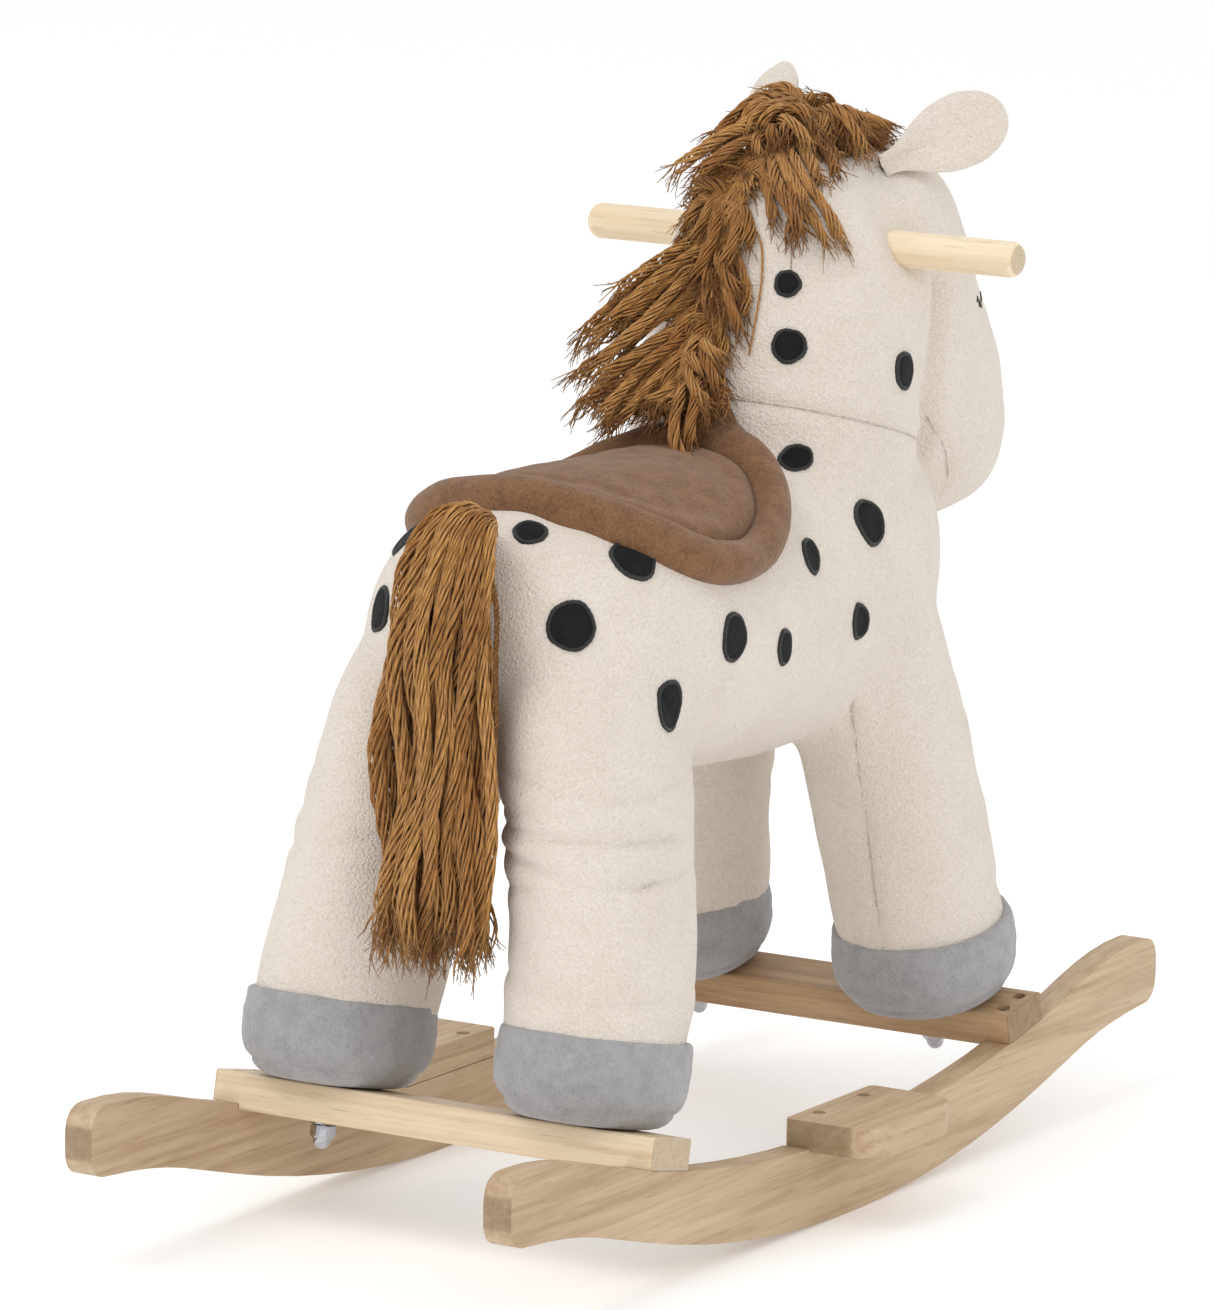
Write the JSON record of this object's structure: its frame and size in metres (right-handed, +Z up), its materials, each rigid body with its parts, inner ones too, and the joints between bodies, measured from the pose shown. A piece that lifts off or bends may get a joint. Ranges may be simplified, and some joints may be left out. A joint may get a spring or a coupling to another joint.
{
  "type": "rocking horse",
  "caption": "Stuffed plush rocking horse with a wooden handle bar, padded saddle and yarn mane and tail, standing on a wooden rocker base with footrests.",
  "frame": {"origin": "on the floor, under the middle of the base", "axes": "+Z up, -Y is the way the horse faces, +X is the horse's left side"},
  "size_m": [0.388, 0.776, 0.6455],
  "materials": {
    "runner_wood": "matt oiled",
    "bar_wood": "matt oiled",
    "handle_wood": "satin",
    "frame_wood": "raw",
    "bright_steel": "bright",
    "screw_steel": "dull",
    "fleece": "short pile",
    "hoof_plush": "short pile",
    "suede": "suede",
    "yarn": "twisted cotton",
    "spot_cloth": "satin stitched",
    "thread": "stitching"
  },
  "bodies": {
    "horse": {"right_runner": "runner_wood", "left_runner": "runner_wood", "front_crossbar": "bar_wood", "rear_crossbar": "bar_wood", "right_footrest": "runner_wood", "left_footrest": "runner_wood", "front_right_crossbar_screw_outer": "screw_steel", "front_right_crossbar_screw_inner": "screw_steel", "front_left_crossbar_screw_outer": "screw_steel", "front_left_crossbar_screw_inner": "screw_steel", "rear_right_crossbar_screw_outer": "screw_steel", "rear_right_crossbar_screw_inner": "screw_steel", "rear_left_crossbar_screw_outer": "screw_steel", "rear_left_crossbar_screw_inner": "screw_steel", "right_footrest_screw_front": "screw_steel", "right_footrest_screw_rear": "screw_steel", "left_footrest_screw_front": "screw_steel", "left_footrest_screw_rear": "screw_steel", "front_right_leg_bolt": "bright_steel", "front_right_washer": "bright_steel", "front_right_cap_nut": "bright_steel", "front_left_leg_bolt": "bright_steel", "front_left_washer": "bright_steel", "front_left_cap_nut": "bright_steel", "rear_right_leg_bolt": "bright_steel", "rear_right_washer": "bright_steel", "rear_right_cap_nut": "bright_steel", "rear_left_leg_bolt": "bright_steel", "rear_left_washer": "bright_steel", "rear_left_cap_nut": "bright_steel", "front_right_leg_post": "frame_wood", "front_left_leg_post": "frame_wood", "front_leg_rail": "frame_wood", "rear_right_leg_post": "frame_wood", "rear_left_leg_post": "frame_wood", "rear_leg_rail": "frame_wood", "seat_board": "frame_wood", "neck_board": "frame_wood", "handle_dowel": "handle_wood", "body_cover": "fleece", "neck_cover": "fleece", "head_cover": "fleece", "chin_panel": "fleece", "front_right_leg_cover": "fleece", "front_left_leg_cover": "fleece", "rear_right_leg_cover": "fleece", "rear_left_leg_cover": "fleece", "front_right_hoof": "hoof_plush", "front_left_hoof": "hoof_plush", "rear_right_hoof": "hoof_plush", "rear_left_hoof": "hoof_plush", "right_ear": "fleece", "left_ear": "fleece", "saddle_pad": "suede", "saddle_rim": "suede", "mane": "yarn"},
    "tail": {"tail": "yarn"}
  },
  "joints": [
    {"name": "tail_swing", "type": "hinge", "parent": "horse", "child": "tail", "pos_m": [-0.005, 0.203, 0.428], "axis": [1, 0, 0], "range_deg": [0, 60]}
  ]
}
